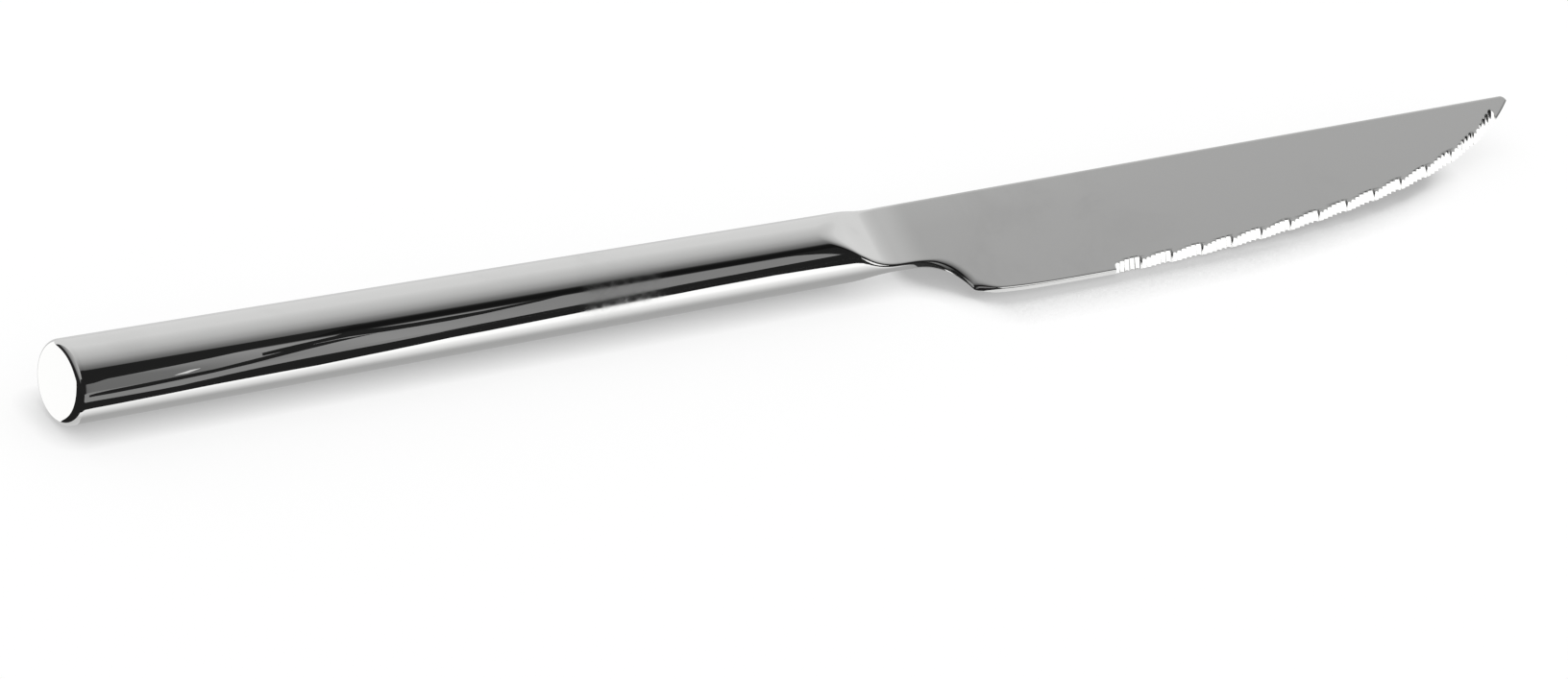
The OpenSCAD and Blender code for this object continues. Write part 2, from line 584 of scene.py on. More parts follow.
@dataclass(frozen=True)
class CastCement:
    """Handle cement, poured in and left to set: matt, pale grey brown and a little speckled."""

    name: str = "handle_cement_cast"
    colour: str = "#A89B85"
    grain_colour: str = "#8A7E6B"
    grain_mm: float = 0.4
    grain_height_mm: float = 0.05
    roughness: float = 0.85

    def material(self) -> bpy.types.Material:
        """Builds the node material.

        Returns:
            The material.
        """
        made, tree = new_material(self.name)
        shader = tree.nodes["Principled BSDF"]
        shader.inputs["Roughness"].default_value = self.roughness
        place = add_node(tree, "ShaderNodeTexCoord").outputs["Object"]
        grain = add_node(
            tree,
            "ShaderNodeTexNoise",
            {"Scale": 1 / (self.grain_mm * MM), "Detail": 4.0},
            {"Vector": place},
        )
        colour = add_node(
            tree,
            "ShaderNodeMix",
            {6: linear(self.colour), 7: linear(self.grain_colour)},
            {0: grain},
            data_type="RGBA",
        ).outputs[2]
        bump = add_node(
            tree, "ShaderNodeBump", {"Distance": self.grain_height_mm * MM}, {"Height": grain}
        ).outputs["Normal"]
        tree.links.new(colour, shader.inputs["Base Color"])
        tree.links.new(bump, shader.inputs["Normal"])
        return made


def make_object(name: str, bm: bmesh.types.BMesh) -> bpy.types.Object:
    """Turns a bmesh into an object of the scene and frees it.

    Args:
        name: Name of the object and its mesh.
        bm: The mesh, in metres.

    Returns:
        The object, at the origin.
    """
    mesh = bpy.data.meshes.new(name)
    bm.to_mesh(mesh)
    bm.free()
    made = bpy.data.objects.new(name, mesh)
    bpy.context.scene.collection.objects.link(made)
    return made


def shade(piece: bpy.types.Object, crease: float = 28.0) -> None:
    """Shades a piece smooth, with edges sharper than the crease angle left sharp."""
    piece.data.shade_smooth()
    piece.data.set_sharp_from_angle(angle=math.radians(crease))


def fit_out(
    piece: bpy.types.Object,
    materials: Sequence[bpy.types.Material],
    node: str,
) -> bpy.types.Object:
    """Dresses a finished piece and puts it on the knife's body in place of its CAD node.

    Args:
        piece: The piece.
        materials: Its materials, in the order of its faces' numbers.
        node: The CAD node that it stands for.

    Returns:
        The piece.
    """
    for material in materials:
        piece.data.materials.append(material)
    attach(piece, "root")
    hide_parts(node)
    return piece


def close_up(bm: bmesh.types.BMesh, move: Matrix) -> None:
    """Welds a mesh, turns its faces outwards and lays it down.

    Args:
        bm: The mesh, in the knife's own millimetres.
        move: The move to the model's metres.
    """
    bmesh.ops.remove_doubles(bm, verts=bm.verts, dist=1e-4)
    bmesh.ops.dissolve_degenerate(bm, dist=1e-5, edges=bm.edges)
    bmesh.ops.recalc_face_normals(bm, faces=bm.faces)
    bmesh.ops.transform(bm, matrix=move, verts=bm.verts)


@dataclass(frozen=True)
class HandleShells:
    """The two pressed half shells of the handle, brazed and buffed until no seam shows."""

    sizes: KnifeSizes
    steps: int = 112
    rings: int = 24

    def build(self, finish: bpy.types.Material) -> list[bpy.types.Object]:
        """Builds and dresses both half shells.

        Args:
            finish: The handle's polished steel.

        Returns:
            The right and the left half.
        """
        return [self.half(side, finish) for side in Side]

    def half(self, side: Side, finish: bpy.types.Material) -> bpy.types.Object:
        """Spins the wall's section through half a turn.

        Args:
            side: Which half to make.
            finish: The handle's polished steel.

        Returns:
            The half shell.
        """
        s = self.sizes
        bm = bmesh.new()
        places = spread(s.cap_len, s.shell_end, (s.shell_end - s.cap_len) / self.rings)
        places.append(s.shell_end)
        outer = [bm.verts.new((x, 0, s.handle_r(x))) for x in places]
        inner = [bm.verts.new((x, 0, s.handle_r(x) - s.shell_wall)) for x in places]
        for a, b, c, d in zip(outer, outer[1:], inner[1:], inner):
            bm.faces.new((a, b, c, d))
        bmesh.ops.spin(
            bm,
            geom=list(bm.verts) + list(bm.edges) + list(bm.faces),
            cent=(0, 0, 0),
            axis=(1, 0, 0),
            angle=-side.value * math.pi,
            steps=self.steps,
            use_duplicate=False,
        )
        close_up(bm, s.rest())
        name = f"handle_half_{side.name.lower()}"
        piece = make_object(name, bm)
        shade(piece)
        return fit_out(piece, [finish], f"handle_shell_{side.name.lower()}")


@dataclass(frozen=True)
class ButtCap:
    """The turned cap that closes the butt: a flat end, a rounded rim and a plug."""

    sizes: KnifeSizes
    steps: int = 224
    rim_steps: int = 14

    def build(self, finish: bpy.types.Material) -> bpy.types.Object:
        """Spins the cap's section through a full turn.

        Args:
            finish: The handle's polished steel.

        Returns:
            The cap.
        """
        s = self.sizes
        flat_r = s.handle_r(s.butt_round) - s.butt_round
        plug_end = s.cap_len + s.cap_plug_len
        plug = [s.handle_r(x) - s.shell_wall - s.plug_gap for x in (s.cap_len, plug_end)]
        section = [(0.0, 0.0)]
        for i in range(self.rim_steps + 1):
            turn = math.pi / 2 * i / self.rim_steps
            section.append(
                (s.butt_round * (1 - math.cos(turn)), flat_r + s.butt_round * math.sin(turn))
            )
        section += [
            (s.cap_len, s.handle_r(s.cap_len)),
            (s.cap_len, plug[0]),
            (plug_end, plug[1]),
            (plug_end, 0.0),
        ]
        bm = bmesh.new()
        verts = [bm.verts.new((x, 0, r)) for x, r in section]
        edges = [bm.edges.new(pair) for pair in zip(verts, verts[1:])]
        bmesh.ops.spin(
            bm,
            geom=verts + edges,
            cent=(0, 0, 0),
            axis=(1, 0, 0),
            angle=2 * math.pi,
            steps=self.steps,
            use_merge=True,
            use_duplicate=False,
        )
        close_up(bm, s.rest())
        piece = make_object("butt_cap_turned", bm)
        shade(piece)
        return fit_out(piece, [finish], "butt_cap")


@dataclass(frozen=True)
class Station:
    """One cross section of the forging: its place, and how deep a point lies in the steel.

    A section is walked from inside, so it names the height of a point inside it, the radius
    of the fans of rays over its two ends, and a length that every ray is sure to leave it by.
    """

    x: float
    depth: Callable[[float, float], float]
    middle: float
    cap: float
    reach: float

    def ray(self, start: tuple[float, float], way: tuple[float, float]) -> tuple[float, float]:
        """Follows a ray from inside the steel to its surface.

        Args:
            start: Y and Z of a point inside.
            way: Unit direction of the ray.

        Returns:
            Y and Z of the surface point.
        """
        near, far = 0.0, self.reach
        in_near = self.depth(*start)
        in_far = self.depth(start[0] + far * way[0], start[1] + far * way[1])
        last = 0
        for _ in range(60):
            middle = near + (far - near) * in_near / (in_near - in_far)
            inside = self.depth(start[0] + middle * way[0], start[1] + middle * way[1])
            if abs(inside) < 1e-6:
                break
            if inside > 0:
                near, in_near = middle, inside
                in_far *= 0.5 if last > 0 else 1.0
                last = 1
            else:
                far, in_far = middle, inside
                in_near *= 0.5 if last < 0 else 1.0
                last = -1
        return start[0] + middle * way[0], start[1] + middle * way[1]

    def outline(self, face_steps: int, cap_steps: int) -> list[Vector]:
        """Walks round the section: a fan over each end and level rays over each face.

        Args:
            face_steps: Steps along each face.
            cap_steps: Steps over each quarter of an end.

        Returns:
            The section's points, from the top round its left side and back up its right.
        """
        _, top = self.ray((0.0, self.middle), (0.0, 1.0))
        _, bottom = self.ray((0.0, self.middle), (0.0, -1.0))
        cap = min(self.cap, (top - bottom) * 0.45)
        high, low = top - cap, bottom + cap
        points = []
        for i in range(cap_steps):
            turn = math.pi / 2 * i / cap_steps
            points.append(self.ray((0.0, high), (math.sin(turn), math.cos(turn))))
        for i in range(face_steps):
            z = high + (low - high) * i / face_steps
            points.append(self.ray((0.0, z), (1.0, 0.0)))
        for i in range(cap_steps + 1):
            turn = math.pi / 2 * i / cap_steps
            points.append(self.ray((0.0, low), (math.cos(turn), -math.sin(turn))))
        left = [Vector((self.x, y, z)) for y, z in points]
        right = [Vector((self.x, -y, z)) for y, z in reversed(points[1:-1])]
        return left + right


@dataclass(frozen=True)
class ForgedBlade:
    """The forging: tang, plug, bolster, neck and flat-ground blade with its serrated edge."""

    sizes: KnifeSizes
    face_steps: int = 44
    cap_steps: int = 12
    crease_round: float = 5.0
    outer_crease_round: float = 0.8
    edge_round: float = 0.34
    heel_edge_round: float = 1.5
    heel_round: float = 0.5
    crown: float = 0.12
    crown_span: float = 4.5
    crown_grow: float = 4.0
    crown_fade: tuple[float, float] = (6.0, 60.0)
    crease_reach: float = 4.6
    plate_lead: float = 3.5
    plate_lag: float = 2.5
    heel_band: tuple[float, float] = (3.5, 5.0)
    heel_fade: tuple[float, float] = (0.2, 4.0)
    slope_step: float = 0.01
    flute_steps: int = 18
    first_flute_lean: float = 6.0
    rim_lean: float = 25.0
    rim_rise: float = 0.1
    gap_round: float = 0.25
    gap_rise: float = 0.1

    def steel_depth(self, x: float, y: float, z: float) -> float:
        """Tells how deep a point lies in the steel of bolster, neck and blade.

        Args:
            x: Place along the knife.
            y: Place across it.
            z: Height above its axis.

        Returns:
            The depth in millimetres, below zero outside.
        """
        s = self.sizes
        wide = abs(y)
        radial = s.handle_r(x) - math.hypot(wide, z)
        face = s.half_t(x, z)
        if x < s.grind_x:
            across = face + s.runout_r - wide
            grind = math.hypot(x - s.grind_x, across) - s.runout_r
        else:
            grind = face - self.crown_depth(x, z) - wide
        flat = smooth_step(x, s.grind_x - self.plate_lead, s.heel_start + self.plate_lag)
        ends = radial if flat <= 0 else (1 - flat) * radial + flat * self.end_depth(x, z)
        middle = 1 - smooth_step(abs(z), 0.0, self.crease_reach)
        crease = self.outer_crease_round + (self.crease_round - self.outer_crease_round) * middle
        fade_from, fade_to = [s.heel_x + past for past in self.heel_fade]
        heel = smooth_step(x, s.heel_start, s.heel_x - 1) * smooth_step(-z, *self.heel_band)
        heel *= 1 - smooth_step(x, fade_from, fade_to)
        edge = self.edge_round + (self.heel_edge_round - self.edge_round) * heel
        rounding = crease + (edge - crease) * smooth_step(x, s.handle_len, s.grind_x + 1)
        return soft_min(ends, grind, rounding)

    def crown_depth(self, x: float, z: float) -> float:
        """Steel that the buffing took off the flat near the spine, most of it at the neck."""
        s = self.sizes
        high = max(0.0, (z - s.spine_z(x) + self.crown_span) / self.crown_span)
        fade_from, fade_to = [s.grind_x + past for past in self.crown_fade]
        fade = 1 - smooth_step(x, fade_from, fade_to)
        grow = smooth_step(x, s.grind_x, s.grind_x + self.crown_grow)
        return self.crown * high * high * fade * grow

    def end_depth(self, x: float, z: float) -> float:
        """Depth of a point below the spine and above the underside, heel and edge.

        Args:
            x: Place along the knife.
            z: Height above its axis.

        Returns:
            The smaller of the two depths.
        """
        s = self.sizes
        tip_x = s.tip_x - s.tip_round
        if x > tip_x and z > s.tip_corner_z:
            spine = s.tip_round - math.hypot(x - tip_x, z - s.tip_corner_z)
        else:
            spine = s.spine_z(x) - z
        if x < s.heel_start:
            return min(spine, z - s.neck_z)
        step = self.slope_step
        slope = (s.edge_z(x + step) - s.edge_z(x - step)) / (2 * step)
        edge = (z - s.edge_z(x)) / math.hypot(1, slope)
        if x < s.heel_start + s.heel_r + self.heel_round * 2:
            heel = math.hypot(x - s.heel_start, z - s.neck_z + s.heel_r) - s.heel_r
            edge = soft_min(heel, edge, self.heel_round)
        return min(spine, edge)

    def places(self) -> list[float]:
        """Gives where the cross sections stand, close together where the steel turns."""
        s = self.sizes
        tip_turn = s.tip_x - s.tip_round
        starts = (
            (s.shell_end, 0.15),
            (s.grind_x + 1, 0.3),
            (s.heel_start + 3.5, 0.2),
            (s.heel_x - 2, 0.06),
            (s.heel_x + 0.8, 0.5),
            (s.heel_x + 6, 1.5),
            (tip_turn - 6, 0.5),
            (tip_turn, 0.0),
        )
        rows = []
        for (start, step), (end, _) in zip(starts, starts[1:]):
            rows += spread(start, end, step)
        rows += [s.tip_x - s.tip_round * (1 - math.sin(math.radians(a))) for a in range(0, 90, 6)]
        rows.append(s.tip_x - s.tip_round * 0.0015)
        return rows

    def stations(self) -> list[Station]:
        """Gives all cross sections, from the tang's end to the tip."""
        s = self.sizes
        tang_start = s.shell_end - s.bolster_plug_len
        plug_r = [s.handle_r(x) - s.shell_wall - s.plug_gap for x in (tang_start, s.shell_end)]
        made = []
        for x in self.tang_places():
            made.append(Station(x, self.tang_depth(x), 0.0, s.tang_t / 2, s.tang_h))
        for x, radius in zip((tang_start, s.shell_end), plug_r):
            made.append(Station(x, self.round_depth(radius), 0.0, s.spine_t / 2, s.butt_d))
        for x in self.places():
            middle = (self.top_z(x) + s.edge_z(x)) / 2 if x > s.heel_x else 0.0
            cap = s.half_t(x, middle) if x > s.grind_x else s.spine_t / 2
            depth = partial(self.steel_depth, x)
            made.append(Station(x, depth, middle, cap, s.blade_depth * 2))
        return made

    def top_z(self, x: float) -> float:
        """Height of the spine at a place, over the rounded tip as well."""
        s = self.sizes
        past = x - s.tip_x + s.tip_round
        if past <= 0:
            return s.spine_z(x)
        return s.tip_corner_z + math.sqrt(max(0.0, s.tip_round**2 - past**2))

    def tang_places(self) -> list[float]:
        """Gives where the tang's cross sections stand, over every keying notch."""
        s = self.sizes
        end = s.shell_end - s.bolster_plug_len
        rows = [end - s.tang_len]
        for i in range(s.tang_notches, 0, -1):
            centre = end - i * s.tang_notch_pitch
            rows += [
                centre - s.tang_notch_r * math.cos(math.radians(turn)) for turn in range(0, 181, 15)
            ]
        return rows + [end]

    def tang_depth(self, x: float) -> Callable[[float, float], float]:
        """Gives the depth in the tang's cross section at a place along it."""
        s = self.sizes
        end = s.shell_end - s.bolster_plug_len
        past = (end - x) % s.tang_notch_pitch
        near = min(past, s.tang_notch_pitch - past)
        inside = near < s.tang_notch_r and end - x > s.tang_notch_pitch / 2
        notch = math.sqrt(s.tang_notch_r**2 - near**2) if inside else 0.0
        half_h = s.tang_h / 2 - notch
        return lambda y, z: min(s.tang_t / 2 - abs(y), half_h - abs(z))

    def round_depth(self, radius: float) -> Callable[[float, float], float]:
        """Gives the depth in a round cross section."""
        return lambda y, z: radius - math.hypot(y, z)

    def forging(self) -> bmesh.types.BMesh:
        """Wraps a grid round the cross sections and closes both ends.

        Returns:
            The forging before its edge is ground.
        """
        sections = [
            station.outline(self.face_steps, self.cap_steps) for station in self.stations()
        ]
        across = len(sections[0])
        bm = bmesh.new()
        bmesh.ops.create_grid(bm, x_segments=across, y_segments=len(sections) - 1, size=1.0)
        bm.verts.ensure_lookup_table()
        for row, section in enumerate(sections):
            for column in range(across + 1):
                bm.verts[row * (across + 1) + column].co = section[column % across]
        bmesh.ops.remove_doubles(bm, verts=bm.verts, dist=1e-4)
        bmesh.ops.holes_fill(bm, edges=[e for e in bm.edges if e.is_boundary])
        return bm

    def grind_passes(self) -> list[list[tuple[float, float, float, float]]]:
        """Lists the wheel's cuts along the edge, in passes whose cuts don't touch each other.

        The deeper flutes have a flatter cut at their top, and a narrow groove parts the
        scallops.

        Returns:
            For each pass its cuts: place, height over the edge at which the cut leaves the
            right face, radius and lean.
        """
        s = self.sizes
        radius = s.flute_pitch * s.flute_round
        count = math.floor((s.tip_x - s.tip_plain_len - s.serration_x) / s.flute_pitch)
        passes = [[], [], [], [], []]
        for i in range(count):
            place = (i + s.scallop_start) % s.flutes_in_scallop
            share = min(1.0, (place + 0.5) / (s.flutes_in_scallop - 1.5))
            share = math.sin(math.pi / 2 * share) ** 2
            x = s.serration_x + (i + 0.5) * s.flute_pitch
            lean = s.flute_angle + self.first_flute_lean * (1 - share)
            through = 2 * s.half_t(x, s.edge_z(x)) / math.tan(math.radians(lean))
            top = radius / 5 + s.scallop_rise * share + through
            passes[i % 2].append((x, top, radius, lean))
            if share > 0.5:
                passes[2 + i % 2].append((x, top + self.rim_rise * share, radius, self.rim_lean))
            if place == 0 and i:
                edge = x - s.flute_pitch / 2 + self.gap_round / 2
                gap = top + s.scallop_rise + self.gap_rise
                passes[4].append((edge, gap, self.gap_round, self.rim_lean))
        return passes

    def flutes(self, cuts: Sequence[tuple[float, float, float, float]]) -> bmesh.types.BMesh:
        """Draws the cuts of one pass as round-bottomed cutters.

        Args:
            cuts: Place, height over the edge, radius and lean of each cut.

        Returns:
            The cutters.
        """
        s = self.sizes
        over = s.butt_d / 4
        bm = bmesh.new()
        for x, height, radius, lean in cuts:
            z = s.edge_z(x) + height
            ring = bmesh.ops.create_circle(
                bm, cap_ends=True, segments=self.flute_steps * 2, radius=radius
            )["verts"]
            for vert in ring:
                vert.co.y -= radius
                if vert.co.y < -radius - 1e-4:
                    vert.co.y -= over
            bottom = ring[0].link_faces[0]
            grown = bmesh.ops.extrude_face_region(bm, geom=[bottom])["geom"]
            top = [v for v in grown if isinstance(v, bmesh.types.BMVert)]
            bmesh.ops.translate(bm, verts=top, vec=(0, 0, 2 * over))
            turn = Matrix.Rotation(math.radians(lean), 4, "X")
            place = Matrix.Translation((x, -s.half_t(x, z), z)) @ turn
            place = place @ Matrix.Translation((0, 0, -over))
            bmesh.ops.transform(bm, matrix=place, verts=ring + top)
        for face in bm.faces:
            face.material_index = 1
        return bm

    def build(
        self, polished: bpy.types.Material, ground: bpy.types.Material
    ) -> bpy.types.Object:
        """Builds the forging and grinds its edge.

        Args:
            polished: Polished steel of bolster and blade.
            ground: Ground steel of the flutes.

        Returns:
            The blade with its bolster, plug and tang.
        """
        s = self.sizes
        bm = self.forging()
        close_up(bm, s.rest())
        piece = make_object("forged_blade", bm)
        fit_out(piece, [polished, ground], "blade")
        # The exact solver can leave bits of cutter standing out of the edge, so it isn't used.
        cutters = []
        for turn, cuts in enumerate(self.grind_passes()):
            bm = self.flutes(cuts)
            close_up(bm, s.rest())
            cutter = make_object(f"flute_cutter_{turn}", bm)
            cutter.data.materials.append(polished)
            cutter.data.materials.append(ground)
            cut = piece.modifiers.new(f"flutes_{turn}", "BOOLEAN")
            cut.operation = "DIFFERENCE"
            cut.solver = "MANIFOLD"
            cut.object = cutter
            cutters.append(cutter)
        graph = bpy.context.evaluated_depsgraph_get()
        ready = bpy.data.meshes.new_from_object(piece.evaluated_get(graph))
        piece.modifiers.clear()
        piece.data = ready
        ready.name = piece.name
        for cutter in cutters:
            bpy.data.objects.remove(cutter)
        shade(piece)
        return piece


@dataclass(frozen=True)
class PhotoCamera:
    """The camera at the photograph's place, angle and lens."""

    place_mm: tuple[float, float, float] = (-658.46, -775.15, 614.78)
    turn_deg: tuple[float, float, float] = (57.783, -11.275, -33.072)
    lens_mm: float = 209.56
    sensor_mm: float = 36.0

    def build(self) -> bpy.types.Object:
        """Adds the camera and makes it the scene's own.

        Returns:
            The camera.
        """
        data = bpy.data.cameras.new("camera")
        data.sensor_fit = "HORIZONTAL"
        data.sensor_width = self.sensor_mm
        data.lens = self.lens_mm
        data.clip_start = 0.05
        data.clip_end = 20.0
        made = bpy.data.objects.new("camera", data)
        made.location = Vector(self.place_mm) * MM
        made.rotation_euler = Euler([math.radians(a) for a in self.turn_deg], "XYZ")
        bpy.context.scene.collection.objects.link(made)
        bpy.context.scene.camera = made
        return made


@dataclass(frozen=True)
class Studio:
    """Pale floor, white surroundings, one soft lamp and the cards that the steel mirrors.

    The cards stand where a photographer's tent, flags and table would. Only reflections see
    them, so the floor stays plain and pale. Their places are in millimetres, and a brightness
    of one is white. A mark is a place along the handle and an angle round it, zero level in
    front and 90 overhead: the handle shows a card's corner there.
    """

    sizes: KnifeSizes
    camera: PhotoCamera
    floor_colour: str = "#FAFAFA"
    floor_half_m: float = 3.0
    floor_drop_mm: float = 0.03
    fill: float = 0.96
    white_share: float = 0.7
    shade_gain: float = 12.0
    shade_depth: float = 0.45
    shade_rays: int = 16
    lamp_size_m: tuple[float, float] = (1.0, 0.8)
    lamp_watts: float = 1.6
    lamp_place_m: tuple[float, float, float] = (0.1, 0.35, 1.0)
    lamp_aim_m: tuple[float, float, float] = (0.03, 0.0, 0.0)
    camera_rise: float = 37.92
    tent_r: float = 450.0
    tent_from: float = -300.0
    tent_to: float = 1400.0
    tent_hole_r: float = 0.5
    tent_tilt: float = 8.0
    tent_turn: float = 196.0
    tent_steps: int = 90
    far: float = 900.0
    butt_x: float = -116.2
    black: float = 0.018

    def build(self) -> None:
        """Builds floor, world, lamp and cards."""
        self.world()
        self.floor()
        self.lamp()
        self.tent()
        self.table()
        self.flags()

    def plainly_seen(self, tree: bpy.types.NodeTree) -> bpy.types.Node:
        """Adds a node that is one for the rays of the eye, of the steel and of glass."""
        path = add_node(tree, "ShaderNodeLightPath").outputs
        seen = path["Is Camera Ray"]
        for kind in ("Is Glossy Ray", "Is Transmission Ray"):
            seen = add_node(
                tree, "ShaderNodeMath", links={0: seen, 1: path[kind]}, operation="MAXIMUM"
            )
        return seen

    def world(self) -> None:
        """White for the camera and the steel, a plain fill light for the rest."""
        world = bpy.data.worlds.new("studio_white")
        bpy.context.scene.world = world
        world.use_nodes = True
        tree = world.node_tree
        tree.nodes.clear()
        white = linear("#FFFFFF")
        fill, bright = [
            add_node(tree, "ShaderNodeBackground", {"Color": white, "Strength": strength})
            for strength in (self.fill, 1.0)
        ]
        seen = self.plainly_seen(tree)
        both = add_node(tree, "ShaderNodeMixShader", links={0: seen, 1: fill, 2: bright})
        add_node(tree, "ShaderNodeOutputWorld", links={"Surface": both})

    def floor(self) -> None:
        """Adds the pale table top that the knife lies on, with the soft shade close to it.

        The shade is painted into what the eye and the steel see of the floor: its white glow,
        dulled where the knife hides the sky within a reach that changes along the knife.
        """
        bm = bmesh.new()
        bmesh.ops.create_grid(bm, x_segments=2, y_segments=2, size=self.floor_half_m)
        bmesh.ops.translate(bm, verts=bm.verts, vec=(0, 0, -self.floor_drop_mm * MM))
        made = make_object("pale_floor", bm)
        material, tree = new_material("matt_white_board")
        shader = tree.nodes["Principled BSDF"]
        shader.inputs["Base Color"].default_value = linear(self.floor_colour)
        shader.inputs["Roughness"].default_value = 1.0
        shader.inputs["Specular IOR Level"].default_value = 0.0
        share = add_node(
            tree,
            "ShaderNodeMath",
            {1: self.white_share},
            {0: self.plainly_seen(tree)},
            operation="MULTIPLY",
        )
        along = own_place(tree)[1]["X"]
        # Painted shadow: the white glow below is darkened by an AO node close to the knife, with
        # its reach and strength set along the knife, rather than cast by the lamp.
        reach = ramp(tree, along, [(8, 0.0038), (22, 0.0072), (60, 0.0066), (116, 0.004)])
        stops = [(10, 0.045), (18, 0.2), (24, 1.0), (60, 0.8), (85, 0.3), (105, 0.0)]
        gain = ramp(tree, along, stops)
        open_sky = add_node(
            tree, "ShaderNodeAmbientOcclusion", links={"Distance": reach}, samples=self.shade_rays
        ).outputs["AO"]
        hidden = add_node(
            tree,
            "ShaderNodeMath",
            {1: self.shade_gain, 2: -self.shade_gain},
            {0: open_sky},
            operation="MULTIPLY_ADD",
        )
        left = add_node(
            tree, "ShaderNodeMath", {2: 1.0}, {0: hidden, 1: gain}, operation="MULTIPLY_ADD"
        )
        left = add_node(
            tree, "ShaderNodeMath", {1: self.shade_depth}, {0: left}, operation="MAXIMUM"
        )
        white = add_node(
            tree, "ShaderNodeEmission", {"Color": linear("#FFFFFF")}, {"Strength": left}
        )
        both = add_node(tree, "ShaderNodeMixShader", links={0: share, 1: shader, 2: white})
        tree.links.new(both.outputs[0], tree.nodes["Material Output"].inputs["Surface"])
        made.data.materials.append(material)

    def lamp(self) -> None:
        """Adds the broad lamp over and behind the knife, which keeps its shadow close."""
        data = bpy.data.lights.new("top_softbox", "AREA")
        data.shape = "RECTANGLE"
        data.size, data.size_y = self.lamp_size_m
        data.energy = self.lamp_watts
        made = bpy.data.objects.new("top_softbox", data)
        made.location = self.lamp_place_m
        aim = Vector(self.lamp_aim_m) - Vector(self.lamp_place_m)
        made.rotation_euler = aim.to_track_quat("-Z", "Y").to_euler()
        made.visible_glossy = False
        bpy.context.scene.collection.objects.link(made)

    def bounce(self, mark: tuple[float, float]) -> tuple[Vector, Vector]:
        """Follows the camera's sight off the polished handle.

        Args:
            mark: Place along the handle, and angle round it of what shows there.

        Returns:
            The point on the handle and the direction of the mirrored sight.
        """
        along, rise = mark
        turn = math.radians((self.camera_rise + rise) / 2)
        normal = Vector((0.0, -math.cos(turn), math.sin(turn)))
        axis = self.sizes.rest() @ Vector((along, 0.0, 0.0)) / MM
        point = axis + normal * self.sizes.handle_r(along)
        sight = (point - Vector(self.camera.place_mm)).normalized()
        return point, sight - 2 * sight.dot(normal) * normal

    def on_level(self, z: float, marks: Sequence[tuple]) -> list[tuple[float, float]]:
        """Gives the X and Y at which the handle shows marks on a level card."""
        hits = [point + way * (z - point.z) / way.z for point, way in map(self.bounce, marks)]
        return [(hit.x, hit.y) for hit in hits]

    def on_upright(self, y: float, marks: Sequence[tuple]) -> list[tuple[float, float]]:
        """Gives the X and Z at which the handle shows marks on a card across Y."""
        hits = [point + way * (y - point.y) / way.y for point, way in map(self.bounce, marks)]
        return [(hit.x, hit.z) for hit in hits]

    def only_mirrored(self, made: bpy.types.Object) -> None:
        """Lets only the steel's reflections see a card."""
        for kind in ("camera", "diffuse", "shadow", "transmission", "volume_scatter"):
            setattr(made, f"visible_{kind}", False)

    def glow(
        self, name: str, strength: float, pattern: Callable | None = None
    ) -> bpy.types.Material:
        """Gives a card its brightness.

        Args:
            name: Name of the material.
            strength: Brightness of the whole card.
            pattern: Adds nodes to the tree and returns the one that colours the card.

        Returns:
            The material.
        """
        material, tree = new_material(name)
        tree.nodes.clear()
        values = {"Color": linear("#FFFFFF"), "Strength": strength}
        links = {"Color": pattern(tree)} if pattern else None
        light = add_node(tree, "ShaderNodeEmission", values, links)
        add_node(tree, "ShaderNodeOutputMaterial", links={"Surface": light})
        return material

    def by_place(self, axis: str, stops: Sequence[tuple[float, float]]) -> Callable:
        """Gives a pattern whose brightness follows one of the card's own coordinates."""
        return lambda tree: ramp(tree, own_place(tree)[1][axis], stops)

    def tent(self) -> None:
        """Adds the diffuser round the knife, bright behind and above, and dark in front."""
        start, end = self.tent_from, self.tent_to
        bm = bmesh.new()
        radii = (self.tent_hole_r, self.tent_r, self.tent_r, self.tent_hole_r)
        section = zip((start, start, end, end), radii)
        verts = [bm.verts.new((x, -r, 0)) for x, r in section]
        edges = [bm.edges.new(pair) for pair in zip(verts, verts[1:])]
        tilt = Matrix.Rotation(math.radians(self.tent_tilt), 3, "X")
        bmesh.ops.rotate(bm, verts=bm.verts, matrix=tilt, cent=(0, 0, 0))
        bmesh.ops.spin(
            bm,
            geom=verts + edges,
            cent=(0, 0, 0),
            axis=(1, 0, 0),
            angle=-math.radians(self.tent_turn),
            steps=self.tent_steps,
        )
        for face in bm.faces:
            face.material_index = int(face.calc_center_median().x < start + 1)
        bmesh.ops.scale(bm, verts=bm.verts, vec=(MM, MM, MM))
        made = make_object("diffuser_tent", bm)
        rising = self.by_place("Z", [(90, 0.02), (140, 0.3), (300, 0.5)])
        made.data.materials.append(self.glow("diffuser_cloth", 1.0, self.round_the_knife))
        made.data.materials.append(self.glow("dark_end_cloth", 1.0, rising))
        self.only_mirrored(made)

    def round_the_knife(self, tree: bpy.types.NodeTree) -> bpy.types.Node:
        """Adds the tent's brightness by the angle round the knife.

        Args:
            tree: The node tree.

        Returns:
            The ramp, by degrees that are zero level in front and 90 overhead.
        """
        _, parts = own_place(tree)
        front = add_node(
            tree, "ShaderNodeMath", {1: -1.0}, {0: parts["Y"]}, operation="MULTIPLY"
        )
        turn = add_node(
            tree, "ShaderNodeMath", links={0: parts["Z"], 1: front}, operation="ARCTAN2"
        )
        turn = add_node(tree, "ShaderNodeMath", links={0: turn}, operation="DEGREES")
        stops = [
            (37, 0.24), (40.5, 0.012), (48, 0.008), (55, 0.012), (58, 0.06), (60, 0.15),
            (66, 0.21), (72, 0.30), (78, 0.40), (84, 0.46), (90, 0.53), (98, 0.60),
            (108, 0.66), (130, 0.80), (190, 0.82),
        ]
        return ramp(tree, turn, stops, unit=1.0)

